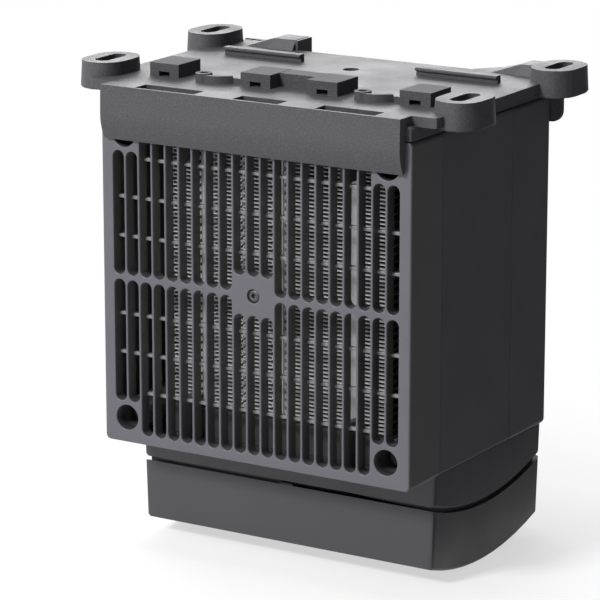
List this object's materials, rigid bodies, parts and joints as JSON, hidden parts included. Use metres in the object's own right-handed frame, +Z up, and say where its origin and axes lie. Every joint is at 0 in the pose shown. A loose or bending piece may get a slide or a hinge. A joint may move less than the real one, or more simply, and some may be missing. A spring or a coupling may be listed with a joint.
{
  "type": "enclosure heater",
  "caption": "Fan heater for electrical enclosures: slotted plastic case with a finned element and axial fan, a mounting plate with slotted ears and a bow-shaped terminal cover.",
  "frame": {"origin": "middle of the bounding box, at its lowest point, under the terminal cover", "axes": "+Z up towards the mounting ears, -Y out of the grille, +X to the right seen from the front"},
  "size_m": [0.1634, 0.108, 0.1787],
  "materials": {
    "grille_plastic": "fine grain",
    "case_plastic": "fine grain",
    "plate_plastic": "fine grain",
    "cover_plastic": "fine grain",
    "holder_plastic": "matt",
    "fan_plastic": "satin",
    "tube_aluminium": "extruded",
    "fin_aluminium": "bright rolled",
    "screw_steel": "zinc plated",
    "bearing_steel": "ground",
    "bracket_steel": "plated",
    "cutout_plastic": "satin",
    "winding_copper": "enamelled copper and steel",
    "terminal_plastic": "satin",
    "terminal_brass": "bright",
    "grommet_rubber": "matt",
    "clamp_plastic": "satin",
    "heater_lead_sleeve": "silicone",
    "fan_lead_blue": "satin",
    "fan_lead_brown": "satin"
  },
  "bodies": {
    "heater": {"base_screw_1": "screw_steel", "base_screw_2": "screw_steel", "case_screw_1": "screw_steel", "case_screw_2": "screw_steel", "case_screw_3": "screw_steel", "case_screw_4": "screw_steel", "clamp_screw_1": "screw_steel", "clamp_screw_2": "screw_steel", "cord_clamp": "clamp_plastic", "cord_grommet": "grommet_rubber", "cover_screw_1": "screw_steel", "cover_screw_2": "screw_steel", "cutout_bracket": "bracket_steel", "element_holder_bottom": "holder_plastic", "element_holder_top": "holder_plastic", "fan_bearing_front": "bearing_steel", "fan_bearing_rear": "bearing_steel", "fan_frame": "fan_plastic", "fan_lead_1": "fan_lead_blue", "fan_lead_2": "fan_lead_brown", "fan_screw_1": "screw_steel", "fan_screw_2": "screw_steel", "fan_screw_3": "screw_steel", "fan_screw_4": "screw_steel", "fan_stator": "winding_copper", "fin_bank_1": "fin_aluminium", "fin_bank_2": "fin_aluminium", "fin_bank_3": "fin_aluminium", "fin_bank_4": "fin_aluminium", "fin_bank_5": "fin_aluminium", "fin_bank_6": "fin_aluminium", "front_grille": "grille_plastic", "grille_screw": "screw_steel", "heater_lead_1": "heater_lead_sleeve", "heater_lead_2": "heater_lead_sleeve", "heater_tube_1": "tube_aluminium", "heater_tube_2": "tube_aluminium", "heater_tube_3": "tube_aluminium", "middle_housing": "case_plastic", "mounting_plate": "plate_plastic", "pole_screw_1": "terminal_brass", "pole_screw_2": "terminal_brass", "pole_screw_3": "terminal_brass", "pole_screw_4": "terminal_brass", "rear_housing": "case_plastic", "terminal_base": "cover_plastic", "terminal_block": "terminal_plastic", "terminal_cover": "cover_plastic", "thermal_cutout": "cutout_plastic"},
    "rotor": {"fan_rotor": "fan_plastic", "fan_shaft": "bearing_steel"}
  },
  "joints": [
    {"name": "rotor_spin", "type": "hinge", "parent": "heater", "child": "rotor", "pos_m": [0, 0.0355, 0.1036], "axis": [0, 1, 0], "continuous": true}
  ]
}
